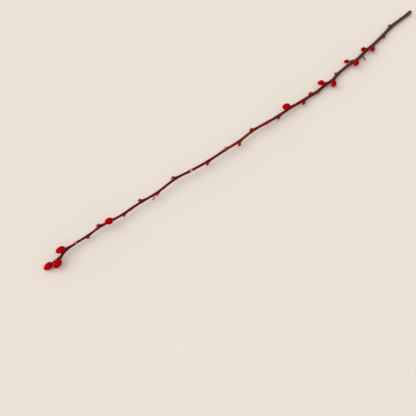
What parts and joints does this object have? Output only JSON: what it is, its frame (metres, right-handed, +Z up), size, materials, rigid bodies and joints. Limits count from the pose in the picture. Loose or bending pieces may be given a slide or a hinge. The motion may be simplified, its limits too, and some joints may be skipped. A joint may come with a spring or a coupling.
{
  "type": "willow twig",
  "caption": "Cut willow twig dyed red, lying down: a slim bowed stem with furry oval catkins in cap-like bud scales, pointed closed buds and pale bud scars.",
  "frame": {"origin": "bottom centre of the twig's box, on the surface that the twig lies on", "axes": "+X along the twig from its cut end to its tip, the way it grew; +Z up from the surface; the stem bows towards +Y"},
  "size_m": [0.6886, 0.0408, 0.0173],
  "materials": {
    "bark": "smooth thin bark dyed dark red, grey-brown towards the cut end, satin",
    "catkin_fur": "short dense silky fur dyed bright red, matte velvet",
    "bud_scale": "thin leathery scale, dark maroon, satin",
    "bud_scar": "bare young wood dyed coral, matte"
  },
  "bodies": {
    "root": {"bud_scar_01": "bud_scar", "bud_scar_02": "bud_scar", "bud_scar_03": "bud_scar", "bud_scar_04": "bud_scar", "catkin_01": "catkin_fur", "catkin_02": "catkin_fur", "catkin_03": "catkin_fur", "catkin_04": "catkin_fur", "catkin_05": "catkin_fur", "catkin_06": "catkin_fur", "catkin_07": "catkin_fur", "catkin_08": "catkin_fur", "catkin_09": "catkin_fur", "catkin_10": "catkin_fur", "catkin_11": "catkin_fur", "catkin_scale_01": "bud_scale", "catkin_scale_02": "bud_scale", "catkin_scale_03": "bud_scale", "catkin_scale_04": "bud_scale", "catkin_scale_05": "bud_scale", "catkin_scale_06": "bud_scale", "catkin_scale_07": "bud_scale", "catkin_scale_08": "bud_scale", "catkin_scale_09": "bud_scale", "catkin_scale_10": "bud_scale", "catkin_scale_11": "bud_scale", "closed_bud_01": "bud_scale", "closed_bud_02": "bud_scale", "closed_bud_03": "bud_scale", "closed_bud_04": "bud_scale", "closed_bud_05": "bud_scale", "closed_bud_06": "bud_scale", "closed_bud_07": "bud_scale", "closed_bud_08": "bud_scale", "closed_bud_09": "bud_scale", "closed_bud_10": "bud_scale", "closed_bud_11": "bud_scale", "closed_bud_12": "bud_scale", "closed_bud_13": "bud_scale", "closed_bud_14": "bud_scale", "opening_bud_01": "catkin_fur", "opening_bud_02": "catkin_fur", "opening_bud_03": "catkin_fur", "opening_bud_04": "catkin_fur", "opening_bud_05": "catkin_fur", "opening_bud_scale_01": "bud_scale", "opening_bud_scale_02": "bud_scale", "opening_bud_scale_03": "bud_scale", "opening_bud_scale_04": "bud_scale", "opening_bud_scale_05": "bud_scale", "peeled_bark_flake": "bud_scale", "stem": "bark"}
  },
  "joints": []
}
